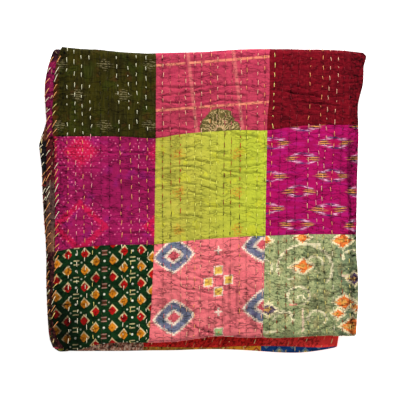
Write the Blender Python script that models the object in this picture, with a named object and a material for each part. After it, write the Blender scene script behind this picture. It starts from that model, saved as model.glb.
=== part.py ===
"""A patchwork throw with rows of running stitch, folded in half across its width and then in three
along its length, lying flat on its underside.

The throw is one sheet of cloth and one solid. Its place in the fold is worked out from two flat
coordinates: across, from the hem of the upper leaf to the hem of the lower leaf, and along, from the
hem of the panel that lies lowest to the hem of the panel that is tucked in the middle.

Across the width there are two leaves, the upper and the lower, joined by a tight fold at the right.
Along the length there are three panels: the low panel on the surface, the top panel, which a wide
fold at the back joins to it, and the middle panel, which a narrow fold at the front tucks under the
top one. So six layers lie on each other. Metres, +X right, +Y back, +Z up.
"""

import math

import bmesh
import bpy
from mathutils import Vector, noise

THICKNESS = 0.0026
LAYER_PITCH = 0.0048
HALF = THICKNESS / 2
LEAF_OFFSET = LAYER_PITCH / 2
HALF_WIDTH = 0.30

LOW_Z = HALF + LEAF_OFFSET
MIDDLE_Z = LOW_Z + 2 * LAYER_PITCH
TOP_Z = MIDDLE_Z + 2 * LAYER_PITCH
BACK_RADIUS = (TOP_Z - LOW_Z) / 2
FRONT_RADIUS = (TOP_Z - MIDDLE_Z) / 2

# Each row is a place from the back to the front: the left hem of each of the six layers and the middle
# of the right-hand fold of each panel, as x. A layer is named by its panel and its leaf.
SIDE_COLUMNS = (
    "y",
    "top_upper",
    "top_lower",
    "middle_lower",
    "middle_upper",
    "low_lower",
    "low_upper",
    "top_fold",
    "middle_fold",
    "low_fold",
)
SIDES = (
    (0.312, -0.2875, -0.2945, -0.2955, -0.2915, -0.2895, -0.2855, 0.3225, 0.3155, 0.3165),
    (0.292, -0.2925, -0.3005, -0.3005, -0.2955, -0.2925, -0.2885, 0.3260, 0.3155, 0.3165),
    (0.270, -0.2945, -0.3075, -0.3035, -0.2975, -0.2945, -0.2905, 0.3215, 0.3150, 0.3145),
    (0.235, -0.2955, -0.3115, -0.3065, -0.3005, -0.2965, -0.2935, 0.3210, 0.3145, 0.3115),
    (0.190, -0.2965, -0.3115, -0.3085, -0.3035, -0.2995, -0.2965, 0.3095, 0.3105, 0.3075),
    (0.145, -0.2965, -0.3085, -0.3135, -0.3055, -0.3015, -0.2975, 0.3105, 0.3095, 0.3055),
    (0.130, -0.2965, -0.3055, -0.3185, -0.3065, -0.3025, -0.2985, 0.3105, 0.3090, 0.3045),
    (0.115, -0.2965, -0.3035, -0.3285, -0.3085, -0.3045, -0.2995, 0.3100, 0.3085, 0.3035),
    (0.100, -0.2955, -0.3025, -0.3275, -0.3085, -0.3055, -0.3005, 0.3090, 0.3080, 0.3025),
    (0.075, -0.2955, -0.3015, -0.3215, -0.3095, -0.3055, -0.3005, 0.3080, 0.3075, 0.3015),
    (0.020, -0.2945, -0.3005, -0.3205, -0.3105, -0.3065, -0.3015, 0.3060, 0.3065, 0.2995),
    (-0.040, -0.2925, -0.2995, -0.3175, -0.3105, -0.3075, -0.3025, 0.3055, 0.3085, 0.2975),
    (-0.100, -0.2915, -0.2985, -0.3135, -0.3095, -0.3065, -0.3025, 0.3085, 0.3085, 0.2945),
    (-0.160, -0.2935, -0.2975, -0.3115, -0.3075, -0.3055, -0.3015, 0.3100, 0.3065, 0.2885),
    (-0.220, -0.2965, -0.2985, -0.3095, -0.3055, -0.3035, -0.2995, 0.3095, 0.3045, 0.2805),
    (-0.255, -0.2915, -0.2955, -0.3075, -0.3025, -0.3015, -0.2975, 0.3060, 0.3015, 0.2735),
    (-0.280, -0.2825, -0.2895, -0.3025, -0.2975, -0.2985, -0.2945, 0.3035, 0.2985, 0.2695),
    (-0.310, -0.2595, -0.2735, -0.2905, -0.2855, -0.2895, -0.2865, 0.3005, 0.2945, 0.2635),
)

# Each row is a place from left to right: the middle of the back fold and of the front fold, and the
# free hems of the low panel's two leaves and of the middle panel, as y.
END_COLUMNS = ("x", "back_fold", "front_fold", "low_lower_hem", "low_upper_hem", "middle_hem")
ENDS = (
    (-0.330, 0.2945, -0.2935, -0.2965, -0.2990, 0.2775),
    (-0.295, 0.2955, -0.2950, -0.2995, -0.3010, 0.2785),
    (-0.250, 0.2925, -0.2945, -0.3015, -0.3030, 0.2795),
    (-0.205, 0.2905, -0.2875, -0.3005, -0.3030, 0.2795),
    (-0.160, 0.2875, -0.2855, -0.2965, -0.3000, 0.2785),
    (-0.105, 0.2840, -0.2790, -0.2915, -0.2970, 0.2765),
    (-0.050, 0.2870, -0.2805, -0.2905, -0.2970, 0.2755),
    (0.005, 0.2905, -0.2775, -0.2915, -0.2990, 0.2765),
    (0.040, 0.2910, -0.2715, -0.2940, -0.3025, 0.2775),
    (0.080, 0.2910, -0.2755, -0.2950, -0.3035, 0.2785),
    (0.120, 0.2910, -0.2775, -0.2965, -0.3055, 0.2785),
    (0.160, 0.2910, -0.2725, -0.2980, -0.3070, 0.2785),
    (0.200, 0.2905, -0.2690, -0.2995, -0.3070, 0.2775),
    (0.245, 0.2900, -0.2675, -0.2985, -0.3015, 0.2765),
    (0.290, 0.2880, -0.2665, -0.2915, -0.2915, 0.2755),
    (0.330, 0.2820, -0.2655, -0.2865, -0.2865, 0.2735),
)

# How high the pile of layers stands, against its plain height: flatter at the left, where the hems
# lie, and at its near left corner, fuller at its folds.
LOFT_X = (-0.33, -0.27, -0.14, 0.0, 0.15, 0.27, 0.33)
LOFTS = (
    (0.310, (0.94, 1.00, 1.03, 1.02, 1.04, 1.09, 1.12)),
    (0.240, (0.86, 0.95, 1.00, 0.98, 0.99, 1.06, 1.09)),
    (0.120, (0.86, 0.97, 1.02, 1.00, 0.98, 1.02, 1.07)),
    (0.000, (0.84, 0.95, 0.98, 0.97, 1.00, 1.03, 1.06)),
    (-0.120, (0.84, 0.94, 1.00, 0.99, 0.97, 1.01, 1.07)),
    (-0.240, (0.72, 0.90, 1.00, 1.02, 1.00, 1.04, 1.06)),
    (-0.310, (0.62, 0.82, 0.99, 1.04, 1.02, 1.05, 1.04)),
)

PANEL_STEPS = {"low": 8, "top": 22, "middle": 7}
BACK_STEPS = 7
FRONT_STEPS = 6
UPPER_STEPS = 22
LOWER_STEPS = 9
HAIRPIN_STEPS = 5

PUCKER_HEIGHT = 0.0013
PUCKER_ACROSS = 0.034
PUCKER_ALONG = 0.016
PUCKER_SEED = 7.3
PUCKER_FADE = 0.030
PUCKERED_X = (-0.295, 0.308)
PUCKERED_Y = (-0.268, 0.286)

CLOTH_COLOUR = (0.33, 0.03, 0.12, 1.0)
CLOTH_ROUGHNESS = 0.85


def clear_scene():
    for old in list(bpy.data.objects):
        bpy.data.objects.remove(old, do_unlink=True)


def smooth(t):
    """0 to 1 with level ends."""
    t = min(max(t, 0.0), 1.0)
    return t * t * (3 - 2 * t)


def along_curve(places, values, place):
    """The value at a place on a smooth curve through the rows of a table."""
    last = len(places) - 1
    if places[0] > places[-1]:
        places = places[::-1]
        values = values[::-1]
    place = min(max(place, places[0]), places[-1])
    cell = 0
    while cell < last - 1 and places[cell + 1] < place:
        cell += 1
    before = max(cell - 1, 0)
    after = min(cell + 2, last)
    span = places[cell + 1] - places[cell]
    t = (place - places[cell]) / span
    start_slope = (values[cell + 1] - values[before]) / (places[cell + 1] - places[before]) * span
    end_slope = (values[after] - values[cell]) / (places[after] - places[cell]) * span
    return (
        (2 * t**3 - 3 * t**2 + 1) * values[cell]
        + (t**3 - 2 * t**2 + t) * start_slope
        + (3 * t**2 - 2 * t**3) * values[cell + 1]
        + (t**3 - t**2) * end_slope
    )


def column(columns, rows, name):
    place = columns.index(name)
    return [row[place] for row in rows]


def side_x(name, y):
    return along_curve(column(SIDE_COLUMNS, SIDES, "y"), column(SIDE_COLUMNS, SIDES, name), y)


def end_y(name, x):
    return along_curve(column(END_COLUMNS, ENDS, "x"), column(END_COLUMNS, ENDS, name), x)


def loft(x, y):
    across = [along_curve(LOFT_X, row[1], x) for row in LOFTS]
    return along_curve([row[0] for row in LOFTS], across, y)


def across_stations():
    """The places across the cloth, as (leaf, share of its run from the hem, turn of the fold)."""
    stations = [("upper", i / UPPER_STEPS, 0.0) for i in range(UPPER_STEPS + 1)]
    stations += [("turn", 1.0, math.pi * i / HAIRPIN_STEPS) for i in range(1, HAIRPIN_STEPS)]
    stations += [("lower", 1 - i / LOWER_STEPS, math.pi) for i in range(LOWER_STEPS + 1)]
    return stations


def along_stations():
    """The places along the cloth, as (panel or fold, share of its run)."""
    stations = [("low", i / PANEL_STEPS["low"]) for i in range(PANEL_STEPS["low"] + 1)]
    stations += [("back", i / BACK_STEPS) for i in range(1, BACK_STEPS)]
    stations += [("top", i / PANEL_STEPS["top"]) for i in range(PANEL_STEPS["top"] + 1)]
    stations += [("front", i / FRONT_STEPS) for i in range(1, FRONT_STEPS)]
    stations += [("middle", i / PANEL_STEPS["middle"]) for i in range(PANEL_STEPS["middle"] + 1)]
    return stations


def mix(first, second, share):
    return first + (second - first) * share


def fold_line(stretch, share, x, turned):
    """The y and z of the middle of the two leaves, and the direction in which the upper leaf lies.

    turned is how far the cloth has turned from the upper leaf, 0, to the lower one, 1."""
    back = end_y("back_fold", x)
    front = end_y("front_fold", x)
    if stretch == "low":
        hem = mix(end_y("low_upper_hem", x), end_y("low_lower_hem", x), turned)
        return mix(hem, back, share), LOW_Z, (0.0, -1.0)
    if stretch == "back":
        angle = math.pi * share
        way = (math.sin(angle), -math.cos(angle))
        return back + BACK_RADIUS * way[0], LOW_Z + BACK_RADIUS * (1 + way[1]), way
    if stretch == "top":
        return mix(back, front, share), TOP_Z, (0.0, 1.0)
    if stretch == "front":
        angle = math.pi * share
        way = (-math.sin(angle), math.cos(angle))
        return front + FRONT_RADIUS * way[0], MIDDLE_Z + FRONT_RADIUS * (1 + way[1]), way
    return mix(front, end_y("middle_hem", x), share), MIDDLE_Z, (0.0, -1.0)


def side_of(kind, stretch, share, y):
    """The x of a hem or of the right-hand fold, passing from one panel to the next in a fold."""
    if stretch == "back":
        return mix(side_x("low_" + kind, y), side_x("top_" + kind, y), smooth(share))
    if stretch == "front":
        return mix(side_x("top_" + kind, y), side_x("middle_" + kind, y), smooth(share))
    return side_x(stretch + "_" + kind, y)


def cloth_point(across, along, out):
    """A point of the folded cloth: out is how far it lies from the middle of the cloth, face side up."""
    leaf, run, turn = across
    stretch, share = along
    turned = turn / math.pi
    plain_x = mix(-HALF_WIDTH, HALF_WIDTH, run)
    y, z, way = fold_line(stretch, share, plain_x, turned)
    fold = side_of("fold", stretch, share, y)
    if leaf == "turn":
        x = fold
    else:
        x = mix(side_of(leaf, stretch, share, y), fold, run)
    y, z, way = fold_line(stretch, share, x, turned)
    radius = LEAF_OFFSET + out
    x += radius * math.sin(turn)
    offset = radius * math.cos(turn)
    y += way[0] * offset
    z += way[1] * offset
    return Vector((x, y, z * loft(x, y)))


def pucker(x, y):
    """The rise of the quilted face, in short creases that run across the rows of stitches."""
    broad = noise.noise(Vector((x / PUCKER_ACROSS, y / PUCKER_ALONG, PUCKER_SEED)))
    edge = min(x - PUCKERED_X[0], PUCKERED_X[1] - x, y - PUCKERED_Y[0], PUCKERED_Y[1] - y)
    return PUCKER_HEIGHT * broad * smooth(edge / PUCKER_FADE)


def grid_of(bm, across, along, out):
    return [[bm.verts.new(cloth_point(a, b, out)) for a in across] for b in along]


def skin(bm, grid, turned_over):
    faces = {}
    for j in range(len(grid) - 1):
        for i in range(len(grid[0]) - 1):
            ring = [grid[j][i], grid[j][i + 1], grid[j + 1][i + 1], grid[j + 1][i]]
            faces[i, j] = bm.faces.new(ring[::-1] if turned_over else ring)
    return faces


def close_rim(bm, face_side, back_side):
    """The cut edge of the cloth all round, between its two sides."""
    rows = len(face_side)
    columns = len(face_side[0])
    rim = [(0, i) for i in range(columns)]
    rim += [(j, columns - 1) for j in range(1, rows)]
    rim += [(rows - 1, i) for i in range(columns - 2, -1, -1)]
    rim += [(j, 0) for j in range(rows - 2, 0, -1)]
    for k, (j, i) in enumerate(rim):
        jn, im = rim[(k + 1) % len(rim)]
        bm.faces.new([face_side[jn][im], face_side[j][i], back_side[j][i], back_side[jn][im]])


def raise_puckers(bm, faces, along):
    """Halves the faces of the top panel's upper leaf and raises its puckers."""
    top_rows = [j for j, (stretch, share) in enumerate(along[:-1]) if stretch == "top" and share < 1]
    chosen = [faces[i, j] for i in range(UPPER_STEPS) for j in top_rows]
    edges = list({edge for face in chosen for edge in face.edges})
    done = bmesh.ops.subdivide_edges(bm, edges=edges, cuts=1, use_grid_fill=True)
    verts = {v for v in done["geom_inner"] if isinstance(v, bmesh.types.BMVert)}
    verts |= {v for face in chosen if face.is_valid for v in face.verts}
    for vert in verts:
        vert.co.z += pucker(vert.co.x, vert.co.y)


def cloth_material():
    material = bpy.data.materials.new("quilted_cotton")
    material.use_nodes = True
    shader = material.node_tree.nodes["Principled BSDF"]
    shader.inputs["Base Color"].default_value = CLOTH_COLOUR
    shader.inputs["Roughness"].default_value = CLOTH_ROUGHNESS
    shader.inputs["Metallic"].default_value = 0.0
    material.diffuse_color = CLOTH_COLOUR
    return material


def make_throw():
    across = across_stations()
    along = along_stations()
    bm = bmesh.new()
    face_side = grid_of(bm, across, along, HALF)
    back_side = grid_of(bm, across, along, -HALF)
    faces = skin(bm, face_side, turned_over=False)
    skin(bm, back_side, turned_over=True)
    close_rim(bm, face_side, back_side)
    raise_puckers(bm, faces, along)
    bmesh.ops.recalc_face_normals(bm, faces=bm.faces)
    mesh = bpy.data.meshes.new("throw")
    bm.to_mesh(mesh)
    bm.free()
    mesh.shade_smooth()
    mesh.materials.append(cloth_material())
    throw = bpy.data.objects.new("throw", mesh)
    bpy.context.scene.collection.objects.link(throw)
    return throw


def main():
    clear_scene()
    make_throw()


main()
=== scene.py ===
"""The looks of the folded patchwork throw: its quilted cloth, its patches, and its stitches.

The cloth is the solid's fold again, with the same tables, on a finer grid, with the seams between the
patches, the puckers and the main creases. Lengths are in metres in the geometry, and in millimetres in
the patterns of the fabrics, where they are easier to read.
"""

import math
import random

import bpy
import numpy as np
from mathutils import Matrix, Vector


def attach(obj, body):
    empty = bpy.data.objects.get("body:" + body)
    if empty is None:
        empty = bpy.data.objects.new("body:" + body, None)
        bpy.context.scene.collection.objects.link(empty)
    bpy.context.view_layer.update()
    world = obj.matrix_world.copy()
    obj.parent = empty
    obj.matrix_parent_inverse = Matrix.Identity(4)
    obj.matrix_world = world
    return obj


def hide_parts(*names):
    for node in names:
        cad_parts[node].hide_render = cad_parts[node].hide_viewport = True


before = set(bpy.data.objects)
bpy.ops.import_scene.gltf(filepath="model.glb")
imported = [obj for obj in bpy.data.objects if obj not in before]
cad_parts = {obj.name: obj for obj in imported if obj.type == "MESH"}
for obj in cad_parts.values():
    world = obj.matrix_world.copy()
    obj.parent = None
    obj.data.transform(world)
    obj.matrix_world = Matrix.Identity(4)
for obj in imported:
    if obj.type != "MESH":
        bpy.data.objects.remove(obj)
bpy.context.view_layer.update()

MM = 0.001

# The fold, as in the solid's source, with its edges a few millimetres nearer to the real ones.
THICKNESS = 0.0026
LAYER_PITCH = 0.0048
HALF = THICKNESS / 2
LEAF_OFFSET = LAYER_PITCH / 2
HALF_WIDTH = 0.30
LOW_Z = HALF + LEAF_OFFSET
MIDDLE_Z = LOW_Z + 2 * LAYER_PITCH
TOP_Z = MIDDLE_Z + 2 * LAYER_PITCH
BACK_RADIUS = (TOP_Z - LOW_Z) / 2
FRONT_RADIUS = (TOP_Z - MIDDLE_Z) / 2
SKIN_RADIUS = LEAF_OFFSET + HALF
BACK_SKIN = BACK_RADIUS + SKIN_RADIUS
FRONT_SKIN = FRONT_RADIUS + SKIN_RADIUS

# From the back to the front: the left hem of each layer, and the right-hand fold of each panel, as x.
SIDE_COLUMNS = ("y", "top_upper", "top_lower", "middle_lower", "middle_upper", "low_lower", "low_upper")
SIDE_COLUMNS += ("top_fold", "middle_fold", "low_fold")
SIDES = (
    (0.312, -0.2830, -0.2990, -0.2955, -0.2915, -0.2895, -0.2855, 0.3270, 0.3155, 0.3165),
    (0.292, -0.2910, -0.3060, -0.3005, -0.2955, -0.2925, -0.2885, 0.3325, 0.3155, 0.3165),
    (0.270, -0.2955, -0.3125, -0.3035, -0.2975, -0.2945, -0.2905, 0.3270, 0.3150, 0.3145),
    (0.235, -0.2985, -0.3180, -0.3065, -0.3005, -0.2965, -0.2935, 0.3250, 0.3145, 0.3115),
    (0.190, -0.3005, -0.3165, -0.3085, -0.3035, -0.2995, -0.2965, 0.3140, 0.3105, 0.3075),
    (0.145, -0.3000, -0.3125, -0.3178, -0.3055, -0.3015, -0.2975, 0.3140, 0.3095, 0.3055),
    (0.130, -0.2985, -0.3120, -0.3240, -0.3065, -0.3025, -0.2985, 0.3140, 0.3090, 0.3045),
    (0.115, -0.2965, -0.3125, -0.3285, -0.3085, -0.3045, -0.2995, 0.3135, 0.3085, 0.3035),
    (0.100, -0.2955, -0.3125, -0.3275, -0.3085, -0.3055, -0.3005, 0.3125, 0.3080, 0.3025),
    (0.075, -0.2950, -0.3120, -0.3230, -0.3095, -0.3055, -0.3005, 0.3115, 0.3075, 0.3015),
    (0.020, -0.2935, -0.3120, -0.3202, -0.3105, -0.3065, -0.3015, 0.3090, 0.3065, 0.2995),
    (-0.040, -0.2925, -0.3105, -0.3160, -0.3105, -0.3075, -0.3025, 0.3070, 0.3065, 0.2975),
    (-0.100, -0.2915, -0.3070, -0.3105, -0.3095, -0.3065, -0.3025, 0.3055, 0.3055, 0.2945),
    (-0.160, -0.2925, -0.3010, -0.3095, -0.3075, -0.3055, -0.3015, 0.3080, 0.3060, 0.2885),
    (-0.220, -0.2965, -0.2985, -0.3065, -0.3055, -0.3035, -0.2995, 0.3065, 0.3045, 0.2805),
    (-0.255, -0.2915, -0.2955, -0.3040, -0.3025, -0.3015, -0.2975, 0.3030, 0.3015, 0.2735),
    (-0.280, -0.2825, -0.2895, -0.3005, -0.2975, -0.2985, -0.2945, 0.3025, 0.2985, 0.2695),
    (-0.310, -0.2595, -0.2735, -0.2870, -0.2855, -0.2862, -0.2835, 0.3005, 0.2945, 0.2635),
)

# From left to right: the middles of the back and front folds and the free hems, as y.
END_COLUMNS = ("x", "back_fold", "front_fold", "low_lower_hem", "low_upper_hem", "middle_hem")
ENDS = (
    (-0.330, 0.3040, -0.2935, -0.2965, -0.2990, 0.2775),
    (-0.295, 0.3015, -0.2950, -0.2995, -0.3010, 0.2785),
    (-0.250, 0.2965, -0.2930, -0.3015, -0.3030, 0.2795),
    (-0.205, 0.2940, -0.2810, -0.3005, -0.3030, 0.2795),
    (-0.160, 0.2895, -0.2775, -0.2965, -0.3030, 0.2785),
    (-0.105, 0.2870, -0.2770, -0.2945, -0.3020, 0.2765),
    (-0.050, 0.2885, -0.2755, -0.2955, -0.3015, 0.2755),
    (0.005, 0.2900, -0.2680, -0.2960, -0.2995, 0.2765),
    (0.040, 0.2925, -0.2652, -0.2952, -0.2995, 0.2775),
    (0.080, 0.2950, -0.2678, -0.2932, -0.3010, 0.2785),
    (0.120, 0.2955, -0.2682, -0.2928, -0.3035, 0.2785),
    (0.160, 0.2955, -0.2685, -0.2930, -0.3060, 0.2785),
    (0.200, 0.2950, -0.2665, -0.2946, -0.3060, 0.2775),
    (0.245, 0.2945, -0.2640, -0.2957, -0.3005, 0.2765),
    (0.290, 0.2924, -0.2650, -0.2898, -0.2915, 0.2755),
    (0.330, 0.2880, -0.2650, -0.2865, -0.2865, 0.2735),
)

# The height of the pile of layers against its plain height.
LOFT_X = (-0.33, -0.27, -0.14, 0.0, 0.15, 0.27, 0.33)
LOFTS = (
    (0.310, (0.94, 1.00, 1.03, 1.02, 1.04, 1.09, 1.12)),
    (0.240, (0.86, 0.95, 1.00, 0.98, 0.99, 1.06, 1.09)),
    (0.120, (0.86, 0.97, 1.02, 1.00, 0.98, 1.02, 1.07)),
    (0.000, (0.84, 0.95, 0.98, 0.97, 1.00, 1.03, 1.06)),
    (-0.120, (0.84, 0.94, 1.00, 0.99, 0.97, 1.01, 1.07)),
    (-0.240, (0.72, 0.90, 1.00, 1.02, 1.00, 1.04, 1.06)),
    (-0.310, (0.62, 0.82, 0.99, 1.04, 1.02, 1.05, 1.04)),
)

# The seams of the top panel: two that run from back to front, as x, and two across, as y.
LONG_SEAMS = (
    # y, first, second
    (0.300, -0.0915, 0.1390),
    (0.240, -0.0915, 0.1390),
    (0.200, -0.0915, 0.1375),
    (0.165, -0.0915, 0.1340),
    (0.130, -0.0915, 0.1330),
    (0.070, -0.0920, 0.1315),
    (0.000, -0.0925, 0.1295),
    (-0.075, -0.0930, 0.1280),
    (-0.130, -0.0950, 0.1258),
    (-0.200, -0.0980, 0.1240),
    (-0.290, -0.1030, 0.1205),
)
CROSS_SEAMS = (
    # x, first, second
    (-0.300, 0.1260, -0.1080),
    (-0.265, 0.1260, -0.1010),
    (-0.200, 0.1260, -0.0940),
    (-0.155, 0.1255, -0.0925),
    (-0.092, 0.1225, -0.0915),
    (-0.045, 0.1300, -0.0865),
    (0.000, 0.1345, -0.0820),
    (0.040, 0.1375, -0.0790),
    (0.085, 0.1390, -0.0760),
    (0.132, 0.1385, -0.0745),
    (0.172, 0.1440, -0.0730),
    (0.220, 0.1490, -0.0715),
    (0.320, 0.1490, -0.0725),
)
# Where the seams lie on the other panels, as shares of a leaf from its hem, and the lower leaf's own.
UPPER_SEAM_SHARES = (0.312, 0.735)
LOWER_SEAM_SHARES = (0.320, 0.743)
LOW_ROW_SHARES = (0.248, 0.624)
MIDDLE_ROW_SHARES = (0.38, 0.62)

# The fabric of each patch, for the face and for the backing. A row is a strip across the throw, from
# the hem of the low panel; the columns are the upper leaf's patches from its hem, the third of them going
# round the fold, and then the other two of the lower leaf.
FACE_PATCHES = (
    ("olive", "orange", "red", "crimson", "feather"),
    ("lime", "blue", "coral", "sage", "maroon"),
    ("ikat", "crimson", "green", "olive", "blue"),
    ("olive", "pink", "maroon", "blue", "orange"),
    ("magenta", "lime", "ikat", "sage", "crimson"),
    ("green", "coral", "sage", "red", "pink"),
    ("coral", "maroon", "orange", "lime", "umber"),
    ("blue", "sage", "magenta", "maroon", "umber"),
    ("pink", "ikat", "lime", "green", "black"),
)
BACKING_PATCHES = (
    ("feather", "orange", "blue", "sage", "olive"),
    ("crimson", "olive", "pink", "lime", "blue"),
    ("sage", "magenta", "red", "feather", "crimson"),
    ("blue", "crimson", "lime", "orange", "plum"),
    ("maroon", "sage", "orange", "pink", "satin"),
    ("lime", "blue", "plum", "green", "wine"),
    ("plum", "red", "sage", "ikat", "olive"),
    ("orange", "plum", "feather", "blue", "crimson"),
    ("green", "coral", "maroon", "olive", "plum"),
)

# The grid: its cells across the upper leaf, along the top panel, and where the cloth is hidden. The
# backing takes every third line of it.
UPPER_WIDTHS = (0.205, 0.225, 0.185)
TOP_HEIGHTS = (0.163, 0.216, 0.200)
LEAF_WIDTH = 0.60
PANEL_LENGTH = 0.57
CELL_ACROSS = 0.0039
CELL_TOP = 0.0024
CELL_HIDDEN = 0.015
HAIRPIN_CELLS = 12
BACK_CELLS = 21
FRONT_CELLS = 15
SEAM_REACH = 0.0016
HEM_STEPS = (0.0005, 0.0014)
STRIDE = 3

# The main creases of the top layer: where each starts, and then each bend or end with
# the depth on the way to it, in millimetres.
CREASES = (
    ((-93, 227), (-45, 227, 1.3), (1, 228, 1.3)),
    ((17, 232), (73, 232, 1.3), (116, 227, 0.9)),
    ((-93, 206), (-38, 214, 1.3), (31, 222, 1.1)),
    ((36, 214), (87, 211, 1.3)),
    ((-90, 200), (-64, 194, 1.0), (-16, 196, 1.1)),
    ((3, 190), (41, 201, 1.2), (73, 198, 0.9)),
    ((-93, 139), (-50, 143, 1.3), (-22, 138, 0.9)),
    ((86, 261), (135, 257, 0.8)),
    ((-18, 256), (6, 259, 0.8)),
    ((157, 222), (181, 215, 1.2), (226, 210, 1.4), (248, 203, 1.3)),
    ((188, 196), (220, 195, 1.1), (276, 189, 1.3)),
    ((157, 262), (189, 261, 0.8)),
    ((188, 231), (212, 223, 1.0)),
    ((289, 234), (318, 237, 0.8)),
    ((-208, 98), (-178, 93, 0.8), (-116, 93, 1.3)),
    ((-157, 60), (-92, 56, 1.4)),
    ((-246, 63), (-206, 61, 0.6)),
    ((-218, 0), (-195, -19, 0.9), (-167, -20, 1.1)),
    ((-183, -68), (-102, -70, 1.2)),
    ((-167, -46), (-102, -50, 0.6)),
    ((-13, 130), (15, 126, 1.2)),
    ((62, 135), (76, 129, 1.0), (112, 126, 1.5)),
    ((-34, 104), (-19, 106, 1.0)),
    ((19, 97), (51, 91, 1.0)),
    ((-48, 79), (-7, 78, 1.2), (22, 72, 1.4)),
    ((33, 81), (59, 77, 0.8)),
    ((-90, 57), (-54, 64, 0.9), (-26, 66, 1.1), (0, 61, 1.2), (12, 54, 1.0)),
    ((46, 57), (75, 53, 1.4)),
    ((80, 64), (127, 70, 0.9)),
    ((91, 53), (121, 50, 1.1)),
    ((0, 43), (29, 34, 1.6)),
    ((-29, 32), (-16, 30, 1.2)),
    ((4, 26), (29, 17, 1.7)),
    ((-29, 16), (6, 6, 1.3)),
    ((-90, 23), (-42, 26, 1.2)),
    ((59, -2), (86, -3, 0.9)),
    ((9, -17), (51, -16, 1.0), (127, -21, 0.8)),
    ((-42, -32), (-7, -35, 1.2)),
    ((-90, -46), (-62, -48, 0.8)),
    ((-87, -67), (-13, -62, 0.8)),
    ((-92, -146), (-61, -148, 1.0)),
    ((-5, -154), (5, -158, 1.3), (34, -156, 1.2)),
    ((-45, -160), (-7, -163, 0.9)),
    ((-42, -176), (-9, -182, 0.9)),
    ((56, -166), (55, -214, 1.7)),
    ((73, -174), (70, -199, 1.6), (72, -226, 1.8), (69, -243, 1.1)),
    ((29, -113), (64, -108, 0.9), (87, -105, 0.7)),
    ((-28, -122), (5, -121, 0.8), (43, -128, 0.9)),
    ((-61, -148), (-45, -160, 0.9)),
    ((-10, -185), (16, -190, 1.0)),
    ((14, -203), (45, -202, 0.9)),
    ((57, -179), (79, -180, 0.9)),
    ((-92, -154), (-79, -164, 1.0)),
    ((90, -169), (101, -177, 1.0)),
    ((-7, -256), (22, -267, 1.5)),
    ((-40, -243), (-22, -250, 1.1)),
    ((62, -110), (63, -119, 1.2)),
    ((57, -142), (56, -150, 1.2)),
    ((33, -232), (27, -246, 0.9)),
    ((53, -246), (78, -236, 0.9)),
    ((-22, -250), (-8, -256, 1.3), (-3, -274, 1.3)),
    ((-80, -258), (-60, -266, 0.9)),
    ((150, -120), (168, -124, 0.8)),
    ((196, -112), (226, -117, 0.7)),
    ((240, -180), (262, -190, 0.9)),
    ((170, -206), (196, -209, 0.8)),
    ((262, -140), (258, -170, 0.8)),
    ((258, -194), (276, -182, 1.3)),
    ((219, -262), (239, -245, 1.4)),
    ((162, -254), (172, -262, 1.1)),
    ((152, -168), (151, -200, 1.1)),
    ((182, -112), (182, -130, 1.0)),
    ((150, -90), (151, -112, 0.9)),
    ((222, -138), (223, -152, 1.1)),
    ((295, -90), (298, -30, 1.1)),
    ((297, -30), (294, 90, 1.0)),
)
CREASE_SCALE = 1.7
CREASE_WIDTH = 1.65
CREASE_FADE = 5
CREASE_RIM = 4.2
RIM_WIDTH = 3.0
RIM_HEIGHT = 0.35
DEEPEST = 1.7

# The rows of running stitch on the top layer: x at the back, in the middle and at the front of the
# panel, in millimetres, and the thread in each strip of patches, from the back.
ROWS = (
    # back, middle, front, threads
    (-274, -267, -261, ("bone", "peach", "cream")),
    (-259, -251, -244, ("bone", "rose", "cream")),
    (-244, -236, -226, ("bone", "peach", "cream")),
    (-228, -219, -213, ("bone", "rose", "gold")),
    (-206, -200, -196, ("dark", "plum", "dark")),
    (-190, -184, -180, ("dark", "plum", "dark")),
    (-172, -160, -154, ("bone", "peach", "cream")),
    (-150, -139, -140, ("bone", "peach", "gold")),
    (-132, -124, -122, ("bone", "rose", "cream")),
    (-113, -107, -108, ("bone", "peach", "cream")),
    (-78, -77, -74, ("blush", "rust", "shell")),
    (-63, -61, -58, ("shell", "rust", "shell")),
    (-45, -42, -40, ("shell", "red", "blush")),
    (-33, -28, -29, ("blush", "lemon", "blush")),
    (-13, -12, -14, ("blush", "lemon", "peach")),
    (1, 0, -3, ("blush", "lemon", "blush")),
    (20, 18, 15, ("peach", "lemon", "blush")),
    (34, 31, 27, ("blush", "lemon", "shell")),
    (50, 45, 42, ("shell", "wine", "shell")),
    (64, 59, 57, ("shell", "rust", "shell")),
    (82, 77, 75, ("blush", "red", "peach")),
    (93, 90, 89, ("peach", "lemon", "shell")),
    (116, 112, 107, ("blush", "lemon", "blush")),
    (130, 127, 119, ("peach", "lemon", "blush")),
    (151, 138, 135, ("gold", "peach", "gold")),
    (167, 156, 150, ("maroon", "plum", "rust")),
    (185, 172, 166, ("maroon", "plum", "rust")),
    (198, 188, 182, ("maroon", "plum", "rust")),
    (222, 213, 212, ("peach", "blush", "gold")),
    (249, 231, 230, ("peach", "rose", "gold")),
    (264, 242, 246, ("blush", "blush", "gold")),
    (280, 260, 262, ("blush", "peach", "cream")),
    (292, 278, 279, ("maroon", "plum", "rust")),
    (303, 293, 294, ("maroon", "plum", "gold")),
)
ROW_HEIGHTS = (0.285, 0.018, -0.262)

# Red threads on the middle strip look dark in front of this place, in metres, as short ticks do there.
RED_TICKS = ("rust", "red", "wine")
TICKS_DARKEN = -0.025
THREADS = {
    # sRGB colours
    "cream": (255, 244, 206),
    "peach": (255, 172, 104),
    "gold": (250, 232, 132),
    "rose": (255, 172, 170),
    "rust": (164, 60, 28),
    "red": (206, 34, 36),
    "wine": (124, 20, 38),
    "dark": (52, 46, 20),
    "maroon": (136, 34, 46),
    "plum": (150, 24, 84),
    "bone": (240, 236, 200),
    "blush": (255, 196, 160),
    "lemon": (250, 248, 112),
    "shell": (226, 116, 112),
}


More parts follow.
